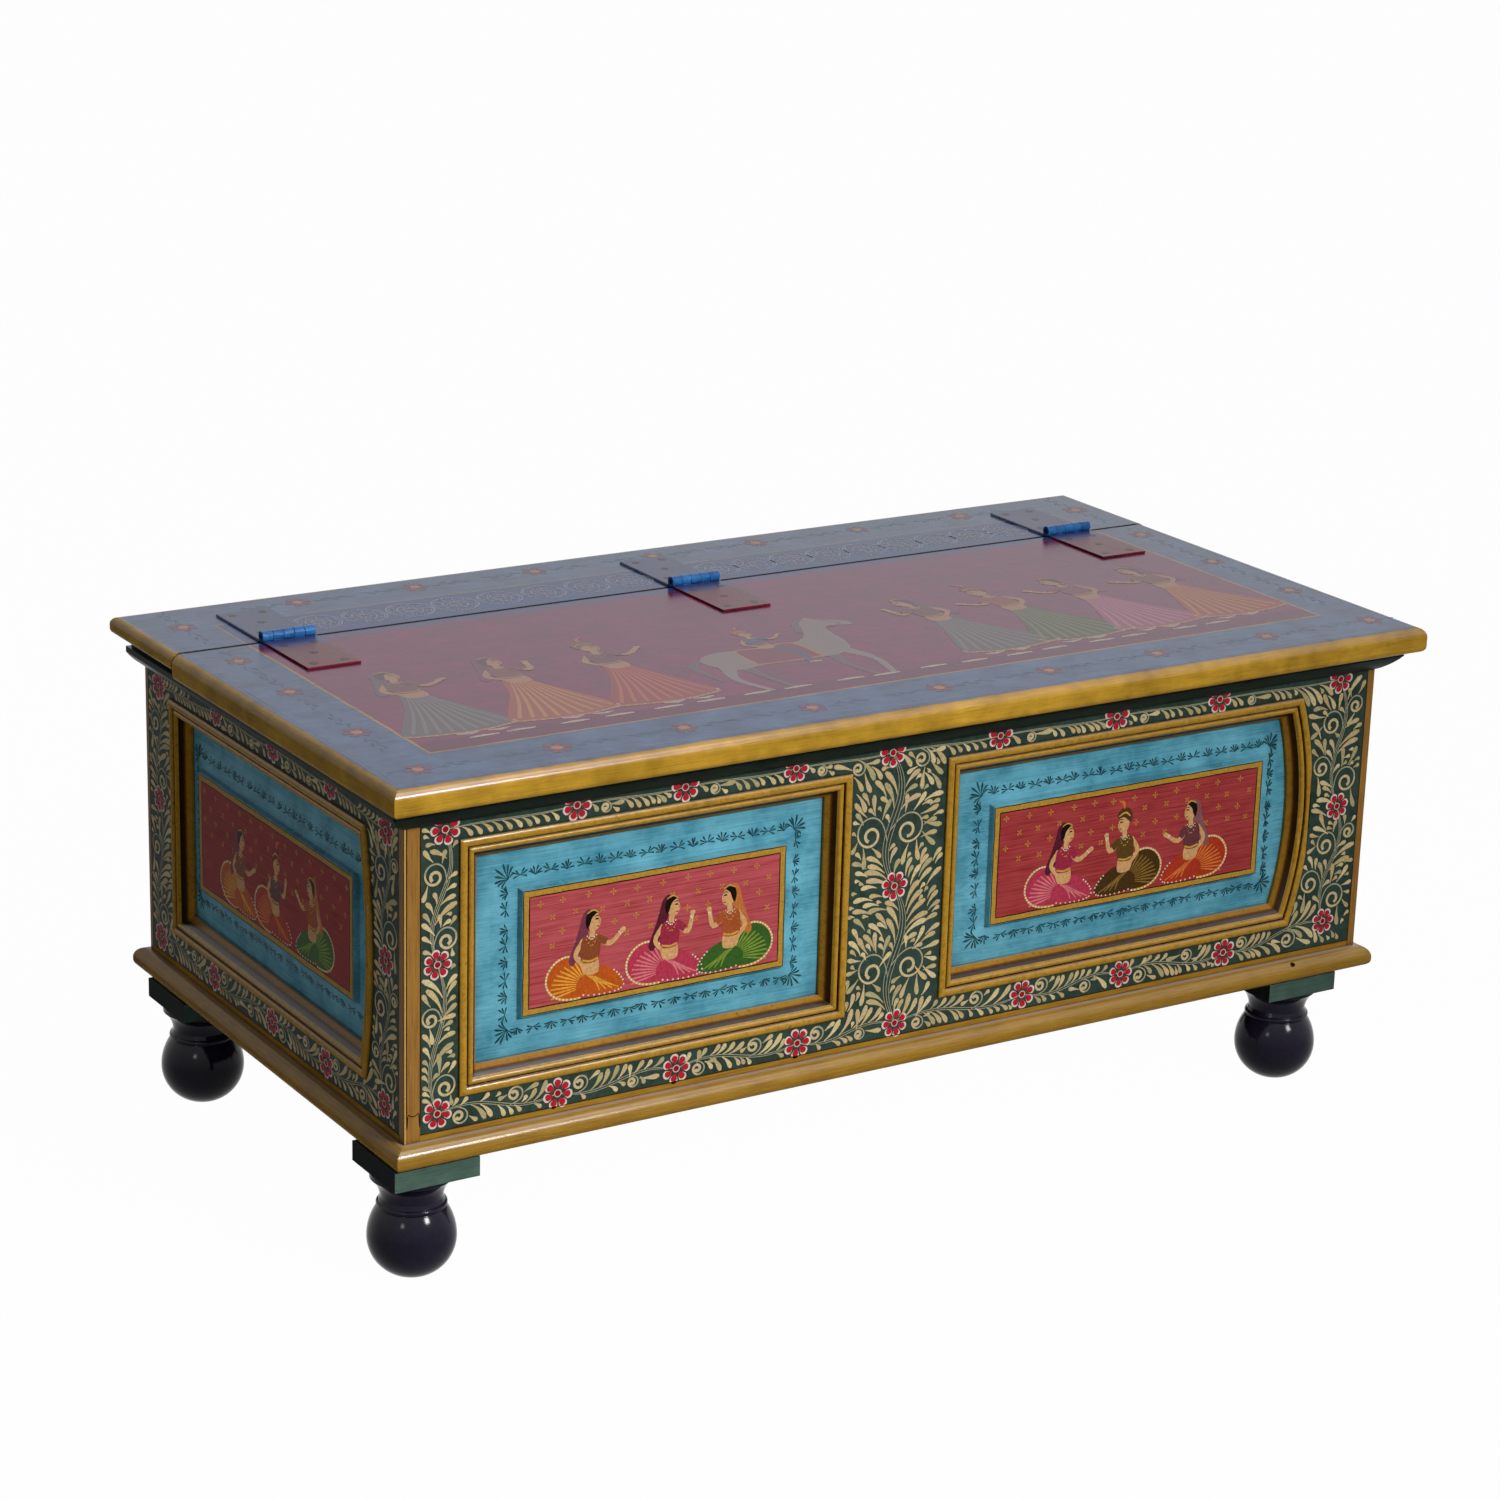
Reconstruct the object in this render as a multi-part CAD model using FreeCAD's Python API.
import FreeCAD, Part
import math
import os

Vector = FreeCAD.Vector

# A painted trunk on turned feet: frame-and-panel sides on a moulded base,
# and a top made of a fixed rear strip with a wide flap hinged to it.
# Millimetres, +X to the right, +Y to the back, +Z up, origin on the floor
# under the middle of the lid.

# Carcass
carcass_length = 1024.0
carcass_depth = 525.0
carcass_height = 308.0
groove_wall = 5.0
bottom_rail_height = 34.0
top_rail_height = 47.0
muntin_width = 101.0
front_muntin_shift = -9.0
front_stile_left_width = 51.0
front_stile_right_width = 86.0
back_stile_width = 69.0
end_front_stile_width = 45.0
end_back_stile_width = 33.0
front_bow = 19.0
left_end_bow = 13.0
tenon_length = 20.0
tenon_shoulder = 6.0

# Fielded panels and the mouldings planted around them
panel_sink = 13.0
panel_edge_thickness = 6.0
panel_tongue = 7.0
slope_rise = 3.0
field_rise = 5.0
field_edge_slope = 2.0
slope_width = 26.0
front_left_field_margin = 62.0
front_right_field_margin = 57.0
end_field_margin = 48.0
back_field_margin = 60.0
field_margin_height = 57.0
moulding_proud = 3.0
bead_width = 6.5
bead_shoulder = 1.8
quirk_width = 1.6
quirk_depth = 3.0
inner_bead_width = 5.0
moulding_slope_width = 7.7
moulding_inner_height = 3.0

# Base and floor
base_thickness = 20.0
base_projection = 13.0
base_width = 110.0
base_top_radius = 11.0
base_bottom_radius = 7.0
floor_thickness = 12.0

# Feet and their plates
foot_pad_radius = 17.0
ball_radius = 38.5
ball_centre_height = 33.0
shoulder_inset = 9.0
shoulder_rise = 28.0
ring_proud = 1.0
ring_groove = 1.0
ring_height = 5.0
neck_inset = 2.5
neck_rise = 4.0
cove_reach = 9.0
cove_height = 18.0
cove_depth = 2.0
flange_thickness = 5.0
spigot_radius = 12.0
plate_side = 80.0
plate_shift = 4.0
plate_thickness = 18.0
plate_floor = 2.0
foot_inset_left = 23.0
foot_inset_right = 64.0
foot_inset_front = 31.0
foot_inset_back = 63.0

# Bed moulding under the lid
bed_height = 30.0
bed_projection = 18.5
bed_foot_projection = 1.5
bed_neck_projection = 13.0
bed_slope_height = 15.0
bed_slope_belly = 1.2
bed_ledge_gap = 1.5

# Lid
board_thickness = 16.0
lid_overhang_side = 28.0
lid_overhang_front = 38.0
lid_overhang_back = 14.0
rear_strip_depth = 138.5
split_gap = 2.0
lipping_width = 12.0
lipping_height = 24.0
lipping_top_radius = 9.0
lipping_bottom_radius = 6.0
strip_top_radius = 7.0
strip_bottom_radius = 5.0
cleat_width = 50.0
cleat_thickness = 18.0
cleat_end_gap = 14.0
cleat_spread = 500.0

# Hinges
hinge_width = 52.0
hinge_leaf_length = 97.0
hinge_leaf_thickness = 2.0
hinge_inset_left = 85.0
hinge_inset_right = 71.0
knuckle_radius = 5.0
knuckle_count = 5
pin_radius = 2.5
screw_head_radius = 4.0
screw_shank_radius = 2.0
screw_length = 13.0
screw_edge = 11.0
screw_first_row = 24.0

# Clearances
joint_clearance = 0.2
moulding_clearance = 0.15
panel_clearance = 0.4
floor_clearance = 0.5
seat_clearance = 0.3
pin_clearance = 0.05
knuckle_gap = 0.4
knuckle_lift = 0.3

# Heights and faces that follow from the sizes above
frame_thickness = panel_sink + panel_edge_thickness + groove_wall
moulding_width = (
    moulding_clearance + bead_width + quirk_width + inner_bead_width + moulding_slope_width
)
shoulder_radius = ball_radius - shoulder_inset
shoulder_height = ball_centre_height + shoulder_rise
neck_radius = shoulder_radius - neck_inset
neck_height = shoulder_height + ring_height + neck_rise
flange_radius = neck_radius + cove_reach
flange_bottom = neck_height + cove_height
foot_height = flange_bottom + flange_thickness
base_bottom = foot_height + plate_thickness
base_top = base_bottom + base_thickness
lid_under = base_top + carcass_height
lid_top = lid_under + board_thickness
lid_depth = lid_overhang_front + carcass_depth + lid_overhang_back
lid_length = carcass_length + 2 * lid_overhang_side
lid_front = -lid_depth / 2
lid_back = lid_depth / 2
lid_left = -lid_length / 2
lid_right = lid_length / 2
carcass_left = -carcass_length / 2
carcass_right = carcass_length / 2
carcass_front = lid_front + lid_overhang_front
carcass_back = carcass_front + carcass_depth
split_back = lid_back - rear_strip_depth
split_front = split_back - split_gap
hinge_y = (split_back + split_front) / 2
hinge_z = lid_top + knuckle_radius + knuckle_lift

nodes = {}


# Drawing helpers
def draw_face(plane, start, *steps):
    """Close an outline on a plane: a step of two numbers is a line, four numbers an arc."""
    edges = []
    here = start
    for step in steps + (start,):
        there = step[-2:]
        if len(step) == 4:
            arc = Part.Arc(plane(*here), plane(*step[:2]), plane(*there))
            edges.append(arc.toShape())
        elif math.dist(here, there) > 1e-6:
            edges.append(Part.LineSegment(plane(*here), plane(*there)).toShape())
        here = there
    return Part.Face(Part.Wire(edges))


def arc_step(centre, radius, middle_angle, end_angle):
    """The middle and end of an arc about a centre, with angles in degrees."""
    step = []
    for angle in (middle_angle, end_angle):
        step.append(centre[0] + radius * math.cos(math.radians(angle)))
        step.append(centre[1] + radius * math.sin(math.radians(angle)))
    return tuple(step)


def hollow_step(start, end, depth):
    """An arc to an end point that sinks a depth to the left of the straight way there."""
    run = (end[0] - start[0], end[1] - start[1])
    share = depth / math.hypot(*run)
    middle = ((start[0] + end[0]) / 2 - run[1] * share, (start[1] + end[1]) / 2 + run[0] * share)
    return middle + end


def box_between(low, high):
    """A box from its lowest to its highest corner."""
    size = Vector(*high) - Vector(*low)
    return Part.makeBox(size.x, size.y, size.z, Vector(*low))


def prism(points, bottom, top):
    """An upright prism on a polygon of XY points."""
    face = draw_face(lambda a, b: Vector(a, b, bottom), *points)
    return face.extrude(Vector(0, 0, top - bottom))


def grown(bounds, amount):
    """A box's corners moved outward by one amount."""
    low, high = bounds
    return tuple(v - amount for v in low), tuple(v + amount for v in high)


# Each side is drawn flat: s runs left to right as seen from outside, t is the height
# above the base, and w points outward from the face of the frame.
def side_placement(name):
    inner = frame_thickness
    corners = {
        "front": (Vector(carcass_left, carcass_front, base_top), Vector(1, 0, 0)),
        "back": (Vector(carcass_right, carcass_back, base_top), Vector(-1, 0, 0)),
        "left_end": (Vector(carcass_left, carcass_back - inner, base_top), Vector(0, -1, 0)),
        "right_end": (Vector(carcass_right, carcass_front + inner, base_top), Vector(0, 1, 0)),
    }
    corner, along = corners[name]
    up = Vector(0, 0, 1)
    return FreeCAD.Placement(corner, FreeCAD.Rotation(along, up, along.cross(up), "XYZ"))


class Opening:
    """A panel opening in a frame, whose right side may bow outward."""

    def __init__(self, left, right, bow):
        self.left = left
        self.right = right
        self.bow = bow
        self.bottom = bottom_rail_height
        self.top = carcass_height - top_rail_height
        self.middle = (self.bottom + self.top) / 2
        self.half = (self.top - self.bottom) / 2
        if bow:
            self.radius = (self.half ** 2 + bow ** 2) / (2 * bow)
            self.centre = right + bow - self.radius

    def right_at(self, offset):
        """Where the offset right side meets the offset top and bottom."""
        if not self.bow:
            return self.right + offset
        reach = (self.radius + offset) ** 2 - (self.half + offset) ** 2
        return self.centre + math.sqrt(reach)

    def corners(self, offset):
        """Bottom left, bottom right, top right and top left, moved outward by an offset."""
        side = self.right_at(offset)
        low = self.bottom - offset
        high = self.top + offset
        left = self.left - offset
        return (left, low), (side, low), (side, high), (left, high)

    def solid(self, offset, low, high):
        """The offset opening as a solid between two depths."""
        a, b, c, d = self.corners(offset)
        right_side = c
        if self.bow:
            right_side = (self.right + self.bow + offset, self.middle) + c
        face = draw_face(lambda s, t: Vector(s, t, low), a, b, right_side, d)
        return face.extrude(Vector(0, 0, high - low))


# Frames: rails tenoned into stiles, muntins tenoned into rails
tenon_back = -(panel_sink + panel_edge_thickness)
tenon_front = -panel_sink


def tenon_bounds(s_range, t_range):
    return (s_range[0], t_range[0], tenon_back), (s_range[1], t_range[1], tenon_front)


def make_frame(side, length, stile_names, stile_widths, openings):
    """The stiles, rails and muntins of one side, grooved for its panels."""
    bottom = bottom_rail_height
    top = carcass_height - top_rail_height
    rail_low = stile_widths[0]
    rail_high = length - stile_widths[1]
    back = -frame_thickness
    pieces = {
        stile_names[0]: box_between((0, 0, back), (rail_low, carcass_height, 0)),
        stile_names[1]: box_between((rail_high, 0, back), (length, carcass_height, 0)),
        "bottom_rail": box_between((rail_low, 0, back), (rail_high, bottom, 0)),
        "top_rail": box_between((rail_low, top, back), (rail_high, carcass_height, 0)),
    }
    muntin = None
    if len(openings) == 2:
        muntin = (openings[0].right, openings[1].left)
        pieces["muntin"] = box_between((muntin[0], bottom, back), (muntin[1], top, 0))
    for opening in openings:
        through = opening.solid(0, back, 0)
        groove_offset = panel_tongue + panel_clearance
        groove_back = tenon_back - joint_clearance
        groove_front = tenon_front + joint_clearance
        groove = opening.solid(groove_offset, groove_back, groove_front)
        for name in pieces:
            pieces[name] = pieces[name].cut(through).cut(groove)

    clear_of_groove = panel_tongue + panel_clearance + joint_clearance
    rails = {
        "bottom_rail": (tenon_shoulder, bottom - clear_of_groove),
        "top_rail": (top + clear_of_groove, carcass_height - tenon_shoulder),
    }
    for rail, heights in rails.items():
        ends = (
            (stile_names[0], (rail_low - tenon_length, rail_low)),
            (stile_names[1], (rail_high, rail_high + tenon_length)),
        )
        for stile, reach in ends:
            bounds = tenon_bounds(reach, heights)
            pieces[rail] = pieces[rail].fuse(box_between(*bounds))
            pieces[stile] = pieces[stile].cut(box_between(*grown(bounds, joint_clearance)))
    if muntin:
        across = (muntin[0] + clear_of_groove, muntin[1] - clear_of_groove)
        reaches = {
            "bottom_rail": (bottom - tenon_length, bottom),
            "top_rail": (top, top + tenon_length),
        }
        for rail, reach in reaches.items():
            bounds = tenon_bounds(across, reach)
            pieces["muntin"] = pieces["muntin"].fuse(box_between(*bounds))
            pieces[rail] = pieces[rail].cut(box_between(*grown(bounds, joint_clearance)))
    for name, piece in pieces.items():
        put(side + "_" + name, piece.removeSplitter(), side)


def put(name, shape, side=None):
    """Keep a finished piece, turned from its side's flat drawing into place."""
    if side:
        shape.Placement = side_placement(side).multiply(shape.Placement)
    nodes[name] = shape


# Panels
def rectangle_wire(s_range, t_range, w):
    points = [
        Vector(s_range[0], t_range[0], w),
        Vector(s_range[1], t_range[0], w),
        Vector(s_range[1], t_range[1], w),
        Vector(s_range[0], t_range[1], w),
    ]
    return Part.makePolygon(points + points[:1])


def raised_block(lower, upper, low, high):
    """A block that rises from one rectangle to another, each given as its s and t ranges."""
    wires = [rectangle_wire(*lower, low), rectangle_wire(*upper, high)]
    return Part.makeLoft(wires, True, True)


def make_panel(name, side, opening, field_margin):
    """A panel with a tongue in the frame's groove and a raised field in its middle."""
    tongue = opening.solid(panel_tongue, tenon_back, tenon_front)
    field_s = (opening.left + field_margin, opening.right + opening.bow - field_margin)
    field_t = (opening.bottom + field_margin_height, opening.top - field_margin_height)
    sight = opening.corners(-moulding_width)
    slope_s = (max(field_s[0] - slope_width, sight[0][0]), min(field_s[1] + slope_width, sight[1][0]))
    slope_t = (max(field_t[0] - slope_width, sight[0][1]), min(field_t[1] + slope_width, sight[2][1]))
    foot_s = (field_s[0] - field_edge_slope, field_s[1] + field_edge_slope)
    foot_t = (field_t[0] - field_edge_slope, field_t[1] + field_edge_slope)
    slope_top = tenon_front + slope_rise
    slope = raised_block((slope_s, slope_t), (foot_s, foot_t), tenon_front, slope_top)
    field = raised_block((foot_s, foot_t), (field_s, field_t), slope_top, slope_top + field_rise)
    put(name, tongue.fuse([slope, field]).removeSplitter(), side)


def moulding_section(plane):
    """Bead, quirk, inner bead and a slope down to the panel; u runs inward from the frame."""
    bead_start = moulding_clearance
    bead_end = bead_start + bead_width
    inner_start = bead_end + quirk_width
    inner_end = inner_start + inner_bead_width
    quirk_bottom = bead_shoulder - quirk_depth
    return draw_face(
        plane,
        (bead_start, tenon_front),
        (bead_start, bead_shoulder),
        (bead_start + bead_width / 2, moulding_proud, bead_end, bead_shoulder),
        (bead_end, quirk_bottom),
        (inner_start, quirk_bottom),
        (inner_start, 0),
        (inner_start + inner_bead_width / 2, bead_shoulder, inner_end, 0),
        (moulding_width, tenon_front + moulding_inner_height),
        (moulding_width, tenon_front),
    )


def make_mouldings(opening):
    """Four strips mitred round an opening; a bowed side is turned about its own centre."""
    outer = opening.corners(0)
    inner = opening.corners(-moulding_width)
    left, low = outer[0]
    run = Vector(outer[1][0] - left, 0, 0)
    rise = Vector(0, outer[3][1] - low, 0)
    crown = opening.right + opening.bow
    bottom_strip = moulding_section(lambda u, w: Vector(left, opening.bottom + u, w)).extrude(run)
    top_strip = moulding_section(lambda u, w: Vector(left, opening.top - u, w)).extrude(run)
    left_strip = moulding_section(lambda u, w: Vector(opening.left + u, low, w)).extrude(rise)
    if opening.bow:
        section = moulding_section(lambda u, w: Vector(crown - u, opening.middle, w))
        centre = Vector(opening.centre, opening.middle, 0)
        half_turn = math.degrees(math.asin(opening.half / opening.radius))
        section.rotate(centre, Vector(0, 0, 1), -half_turn)
        right_strip = section.revolve(centre, Vector(0, 0, 1), 2 * half_turn)
    else:
        right_strip = moulding_section(lambda u, w: Vector(crown - u, low, w)).extrude(rise)
    strips = []
    for i, strip in enumerate((bottom_strip, right_strip, top_strip, left_strip)):
        j = (i + 1) % 4
        mitres = []
        for corner in (i, j):
            out_s, out_t = outer[corner]
            in_s, in_t = inner[corner]
            mitres.append((2 * out_s - in_s, 2 * out_t - in_t))
        territory = (mitres[0], mitres[1], inner[j], inner[i])
        strips.append(strip.common(prism(territory, tenon_front, moulding_proud)))
    return strips


# Mitred strips round the base, under the lid and round the flap
def edge_strips(outer, width, section, bottom, top, closed):
    """Strips along a rectangle's edges, mitred where two meet; the section's u runs inward."""
    x0, y0, x1, y1 = outer
    runs = {
        "front": (lambda u, z: Vector(x0, y0 + u, z), Vector(x1 - x0, 0, 0)),
        "left": (lambda u, z: Vector(x0 + u, y0, z), Vector(0, y1 - y0, 0)),
        "right": (lambda u, z: Vector(x1 - u, y0, z), Vector(0, y1 - y0, 0)),
    }
    back_in = y1
    if closed:
        runs["back"] = (lambda u, z: Vector(x0, y1 - u, z), Vector(x1 - x0, 0, 0))
        back_in = y1 - width
    territories = {
        "front": ((x0, y0), (x1, y0), (x1 - width, y0 + width), (x0 + width, y0 + width)),
        "left": ((x0, y0), (x0 + width, y0 + width), (x0 + width, back_in), (x0, y1)),
        "right": ((x1, y0), (x1, y1), (x1 - width, back_in), (x1 - width, y0 + width)),
        "back": ((x0, y1), (x0 + width, y1 - width), (x1 - width, y1 - width), (x1, y1)),
    }
    strips = {}
    for edge, (plane, run) in runs.items():
        strip = draw_face(plane, *section).extrude(run)
        strips[edge] = strip.common(prism(territories[edge], bottom, top))
    return strips


def make_base():
    top_round = (base_top_radius, base_top - base_top_radius)
    bottom_round = (base_bottom_radius, base_bottom + base_bottom_radius)
    section = (
        (base_width, base_bottom),
        (base_bottom_radius, base_bottom),
        arc_step(bottom_round, base_bottom_radius, 225, 180),
        (0, base_top - base_top_radius),
        arc_step(top_round, base_top_radius, 135, 90),
        (base_width, base_top),
    )
    outer = (
        carcass_left - base_projection,
        carcass_front - base_projection,
        carcass_right + base_projection,
        carcass_back + base_projection,
    )
    strips = edge_strips(outer, base_width, section, base_bottom, base_top, True)
    for edge, strip in strips.items():
        put("base_moulding_" + edge, strip)
    gap = frame_thickness + floor_clearance
    low = (carcass_left + gap, carcass_front + gap, base_top)
    high = (carcass_right - gap, carcass_back - gap, base_top + floor_thickness)
    put("floor_board", box_between(low, high))


def make_bed_moulding():
    """A strip that slopes out under the lid's lipping and steps back to clear it."""
    bottom = lid_under - bed_height
    top = lid_under - seat_clearance
    ledge_top = lid_top - lipping_height - bed_ledge_gap
    neck = bed_projection - bed_neck_projection
    foot = (bed_projection - bed_foot_projection, bottom)
    slope_top = (0, bottom + bed_slope_height)
    section = (
        (bed_projection, bottom),
        foot,
        hollow_step(foot, slope_top, bed_slope_belly),
        (0, ledge_top),
        (neck, ledge_top),
        (neck, top),
        (bed_projection, top),
    )
    outer = (
        carcass_left - bed_projection,
        carcass_front - bed_projection,
        carcass_right + bed_projection,
        carcass_back,
    )
    strips = edge_strips(outer, bed_projection, section, bottom, top, False)
    for edge, strip in strips.items():
        put("bed_moulding_" + edge, strip)


# Feet
def ball_arc(radius, height, to_widest):
    """An arc between the ball's widest ring and a narrower one, upright at the widest."""
    drop = height - ball_centre_height
    centre = (ball_radius ** 2 - radius ** 2 - drop ** 2) / (2 * (ball_radius - radius))
    arc_radius = ball_radius - centre
    angle = math.degrees(math.asin(drop / arc_radius))
    end_angle = 0 if to_widest else angle
    return arc_step((centre, ball_centre_height), arc_radius, angle / 2, end_angle)


def make_foot():
    """A turned foot: flat pad, ball, ring, neck, flange and a spigot for its plate."""
    ring_inner = shoulder_radius - ring_groove
    ring_top = shoulder_height + ring_height
    ring_middle = shoulder_height + ring_height / 2
    neck = (neck_radius, neck_height)
    flange = (flange_radius, flange_bottom)
    spigot_top = foot_height + plate_thickness - plate_floor - joint_clearance
    section = draw_face(
        lambda r, z: Vector(r, 0, z),
        (0, 0),
        (foot_pad_radius, 0),
        ball_arc(foot_pad_radius, 0, True),
        ball_arc(shoulder_radius, shoulder_height, False),
        (ring_inner, shoulder_height),
        (shoulder_radius + ring_proud, ring_middle, ring_inner, ring_top),
        neck,
        hollow_step(neck, flange, cove_depth),
        (flange_radius, foot_height),
        (spigot_radius, foot_height),
        (spigot_radius, spigot_top),
        (0, spigot_top),
    )
    return section.revolve(Vector(0, 0, 0), Vector(0, 0, 1), 360)


def make_feet():
    columns = {"left": carcass_left + foot_inset_left, "right": carcass_right - foot_inset_right}
    rows = {"front": carcass_front + foot_inset_front, "back": carcass_back - foot_inset_back}
    foot = make_foot()
    half = plate_side / 2
    board = box_between((-half, -half, foot_height), (half, half, base_bottom))
    socket_height = plate_thickness - plate_floor
    socket_radius = spigot_radius + pin_clearance
    socket = Part.makeCylinder(socket_radius, socket_height, Vector(0, 0, foot_height))
    for row, y in rows.items():
        for column, x in columns.items():
            corner = row + "_" + column
            inward = plate_shift if column == "left" else -plate_shift
            plate = board.translated(Vector(inward, 0, 0)).cut(socket)
            put("foot_" + corner, foot.translated(Vector(x, y, 0)))
            put("foot_plate_" + corner, plate.translated(Vector(x, y, 0)))


# Lid boards
def level_edges(board, height):
    """A board's edges at one height, except the front one along the split."""
    found = []
    for edge in board.Edges:
        bounds = edge.BoundBox
        level = abs(bounds.ZMin - height) < 1e-6 and abs(bounds.ZMax - height) < 1e-6
        if level and bounds.YMax > split_back + 1e-6:
            found.append(edge)
    return found


def make_rear_strip():
    """The fixed strip of the top, round-edged on its ends and back."""
    board = box_between((lid_left, split_back, lid_under), (lid_right, lid_back, lid_top))
    board = board.makeFillet(strip_top_radius, level_edges(board, lid_top))
    return board.makeFillet(strip_bottom_radius, level_edges(board, lid_under))


def make_flap():
    """The flap's board, its lipping on three edges and the cleats beneath it."""
    under = lid_under + seat_clearance
    low = (lid_left + lipping_width, lid_front + lipping_width, under)
    board = box_between(low, (lid_right - lipping_width, split_front, lid_top))
    bottom = lid_top - lipping_height
    top_round = (lipping_top_radius, lid_top - lipping_top_radius)
    bottom_round = (lipping_bottom_radius, bottom + lipping_bottom_radius)
    section = (
        (lipping_width, bottom),
        (lipping_bottom_radius, bottom),
        arc_step(bottom_round, lipping_bottom_radius, 225, 180),
        (0, lid_top - lipping_top_radius),
        arc_step(top_round, lipping_top_radius, 135, 90),
        (lipping_width, lid_top),
    )
    outer = (lid_left, lid_front, lid_right, split_front)
    strips = edge_strips(outer, lipping_width, section, bottom, lid_top, False)
    for edge, strip in strips.items():
        put("flap_lipping_" + edge, strip)
    cleats = []
    for x in (-cleat_spread / 2, cleat_spread / 2):
        front = carcass_front + frame_thickness + cleat_end_gap
        low = (x - cleat_width / 2, front, under - cleat_thickness)
        high = (x + cleat_width / 2, split_front - cleat_end_gap, under)
        cleats.append(box_between(low, high))
    put("flap_cleats", Part.makeCompound(cleats))
    return board


# Hinges: two leaves screwed on top of the boards, with interleaved knuckles round a pin
def leaf_edge(direction):
    return hinge_y + direction * (knuckle_radius + knuckle_gap)


def screw_places(x, direction):
    """Screw centres on one leaf: a pair, one in the middle, and a pair near the end."""
    near = screw_first_row
    far = hinge_leaf_length - screw_edge
    middle = (near + far) / 2
    side = hinge_width / 2 - screw_edge
    spots = [(-side, near), (side, near), (0, middle), (-side, far), (side, far)]
    return [Vector(x + dx, hinge_y + direction * dy, lid_top) for dx, dy in spots]


def make_screw(spot, clearance=0.0):
    """A countersunk screw whose head ends flush with the leaf."""
    head_top = spot.z + hinge_leaf_thickness
    low_radius = screw_shank_radius + clearance
    head = Part.makeCone(low_radius, screw_head_radius + clearance, hinge_leaf_thickness, spot)
    base = Vector(spot.x, spot.y, head_top - screw_length - clearance)
    shank = Part.makeCylinder(low_radius, spot.z - base.z, base)
    return head.fuse(shank).removeSplitter()


def make_leaf(x, direction):
    """One leaf with its own knuckles; the fixed leaf has the outer ones."""
    fixed = direction > 0
    left = x - hinge_width / 2
    top = lid_top + hinge_leaf_thickness
    far = hinge_y + direction * hinge_leaf_length
    near = leaf_edge(direction)
    leaf = box_between((left, min(near, far), lid_top), (left + hinge_width, max(near, far), top))
    pitch = hinge_width / knuckle_count
    along = Vector(1, 0, 0)
    for i in range(knuckle_count):
        if (i % 2 == 0) != fixed:
            continue
        start = left + i * pitch + (knuckle_gap / 2 if i else 0)
        end = left + (i + 1) * pitch - (knuckle_gap / 2 if i < knuckle_count - 1 else 0)
        barrel = Part.makeCylinder(knuckle_radius, end - start, Vector(start, hinge_y, hinge_z), along)
        tab_y = sorted((hinge_y, near))
        tab = box_between((start, tab_y[0], lid_top + knuckle_lift), (end, tab_y[1], top))
        leaf = leaf.fuse([barrel, tab])
    bore_radius = pin_radius + pin_clearance
    bore = Part.makeCylinder(bore_radius, hinge_width, Vector(left, hinge_y, hinge_z), along)
    leaf = leaf.cut(bore)
    for spot in screw_places(x, direction):
        leaf = leaf.cut(make_screw(spot, pin_clearance))
    return leaf.removeSplitter()


def make_hinges(flap_board, rear_strip):
    places = {
        "left": carcass_left + hinge_inset_left,
        "middle": 0.0,
        "right": carcass_right - hinge_inset_right,
    }
    boards = {"moving": flap_board, "fixed": rear_strip}
    directions = {"moving": -1, "fixed": 1}
    pins = []
    for name, x in places.items():
        for leaf, direction in directions.items():
            put("hinge_" + name + "_" + leaf + "_leaf", make_leaf(x, direction))
        start = Vector(x - hinge_width / 2, hinge_y, hinge_z)
        pins.append(Part.makeCylinder(pin_radius, hinge_width, start, Vector(1, 0, 0)))
    put("hinge_pins", Part.makeCompound(pins))
    for leaf, direction in directions.items():
        screws = []
        for x in places.values():
            for spot in screw_places(x, direction):
                screws.append(make_screw(spot))
                boards[leaf] = boards[leaf].cut(make_screw(spot, pin_clearance))
        put("hinge_screws_" + leaf, Part.makeCompound(screws))
    put("flap_board", boards["moving"])
    put("rear_strip", boards["fixed"])


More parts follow.
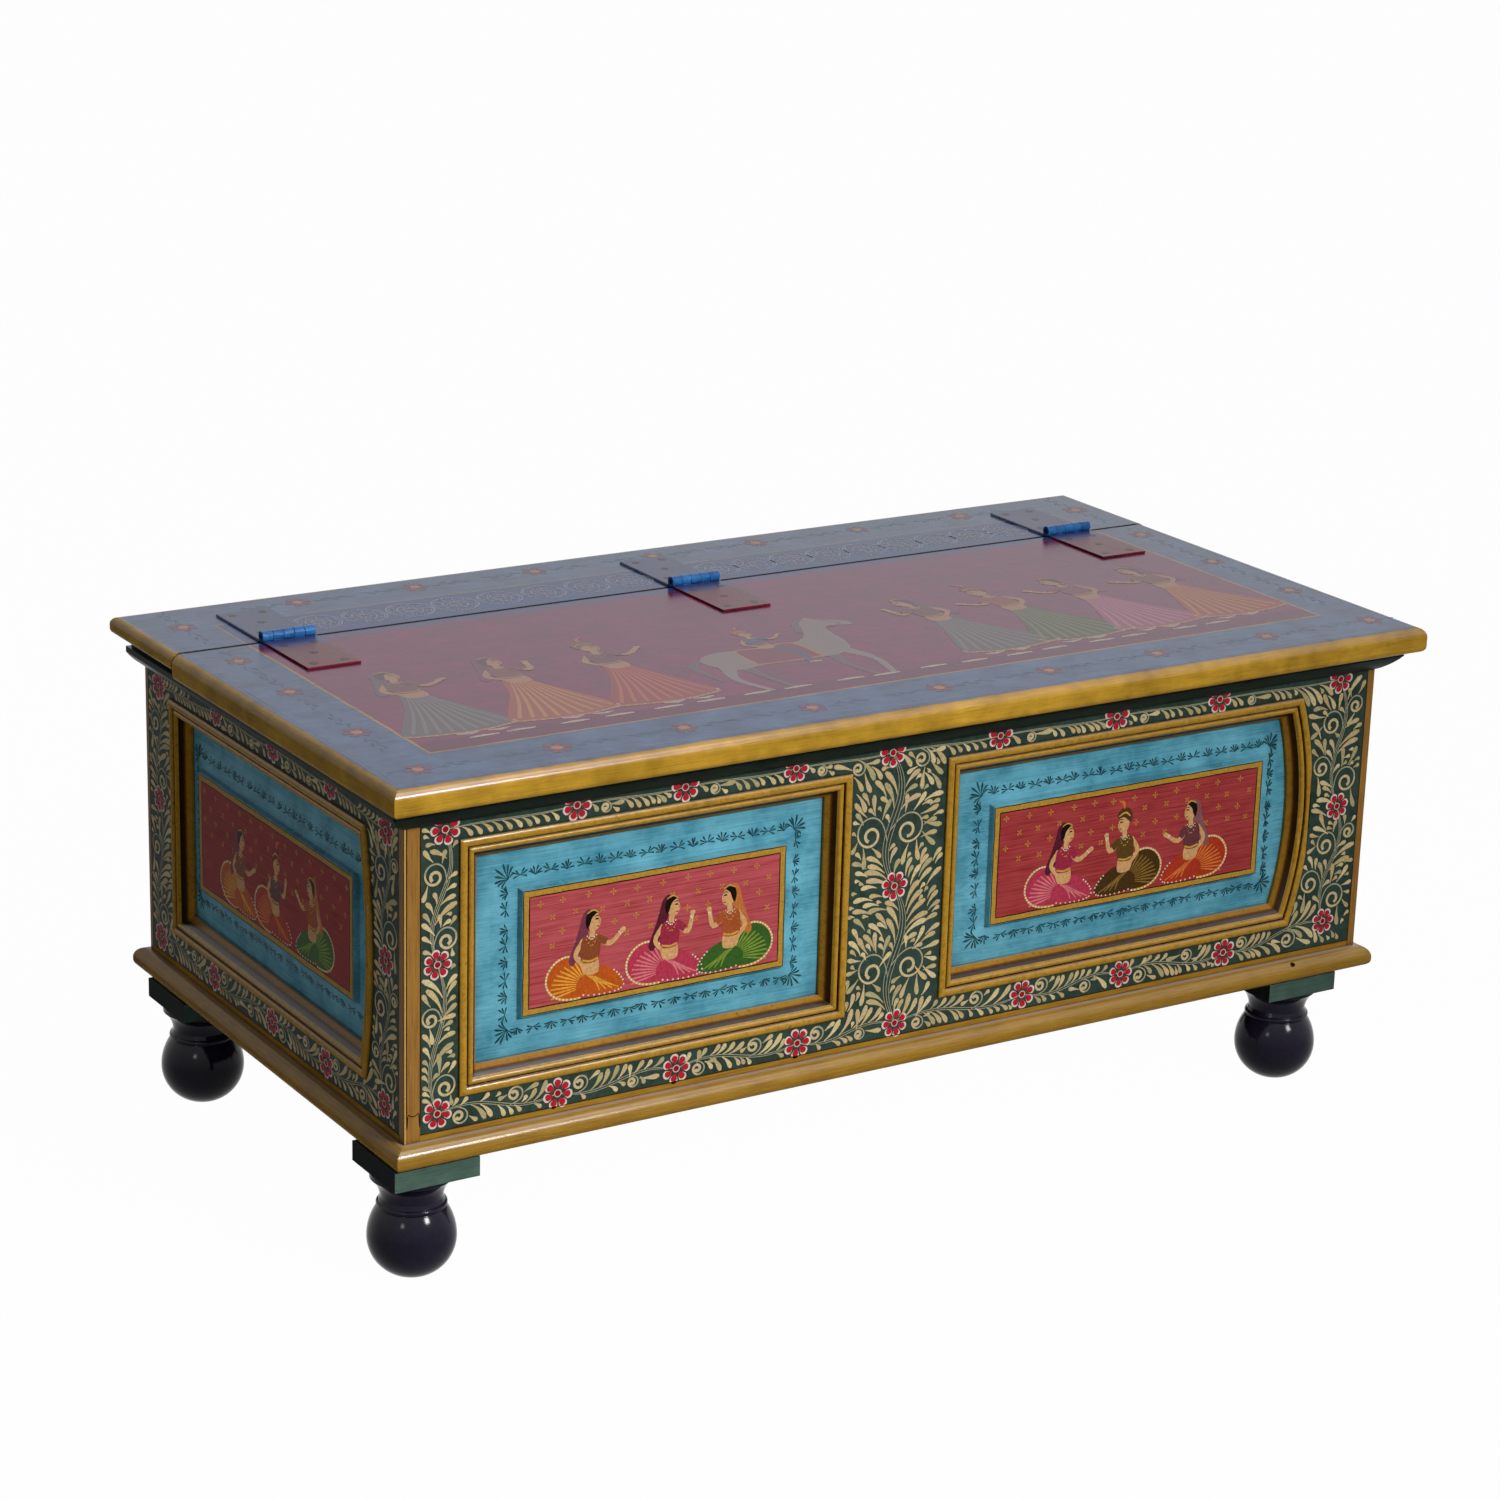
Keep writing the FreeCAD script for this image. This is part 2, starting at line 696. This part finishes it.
# The four sides
def two_openings(length, left_width, right_width, shift, bow):
    middle = (left_width + length - right_width) / 2 + shift
    left = Opening(left_width, middle - muntin_width / 2, 0)
    right = Opening(middle + muntin_width / 2, length - right_width, bow)
    return left, right


def make_sides():
    front = two_openings(
        carcass_length, front_stile_left_width, front_stile_right_width, front_muntin_shift, front_bow
    )
    back = two_openings(carcass_length, back_stile_width, back_stile_width, 0, 0)
    end_length = carcass_depth - 2 * frame_thickness
    left_end = Opening(end_back_stile_width, end_length - end_front_stile_width, left_end_bow)
    right_end = Opening(end_front_stile_width, end_length - end_back_stile_width, 0)
    widths = (front_stile_left_width, front_stile_right_width)
    make_frame("front", carcass_length, ("stile_left", "stile_right"), widths, front)
    widths = (back_stile_width, back_stile_width)
    make_frame("back", carcass_length, ("stile_right", "stile_left"), widths, back)
    widths = (end_back_stile_width, end_front_stile_width)
    make_frame("left_end", end_length, ("stile_back", "stile_front"), widths, (left_end,))
    make_frame("right_end", end_length, ("stile_front", "stile_back"), widths[::-1], (right_end,))

    panels = (
        ("front_panel_left", "front", front[0], front_left_field_margin),
        ("front_panel_right", "front", front[1], front_right_field_margin),
        ("back_panel_right", "back", back[0], back_field_margin),
        ("back_panel_left", "back", back[1], back_field_margin),
        ("left_end_panel", "left_end", left_end, end_field_margin),
        ("right_end_panel", "right_end", right_end, end_field_margin),
    )
    back_strips = []
    for name, side, opening, margin in panels:
        make_panel(name, side, opening, margin)
        strips = make_mouldings(opening)
        if side == "back":
            back_strips += strips
        else:
            put(name + "_moulding", Part.makeCompound(strips), side)
    put("back_panel_mouldings", Part.makeCompound(back_strips), "back")


make_sides()
make_base()
make_bed_moulding()
make_feet()
make_hinges(make_flap(), make_rear_strip())

os.makedirs("parts", exist_ok=True)
for name, shape in nodes.items():
    shape.exportStep("parts/" + name + ".step")
print(len(nodes), "nodes")
print("lid", lid_length, "x", lid_depth, "top at", lid_top, "hinge axis", hinge_y, hinge_z)
for name, shape in nodes.items():
    if not shape.isValid():
        print("not valid:", name)
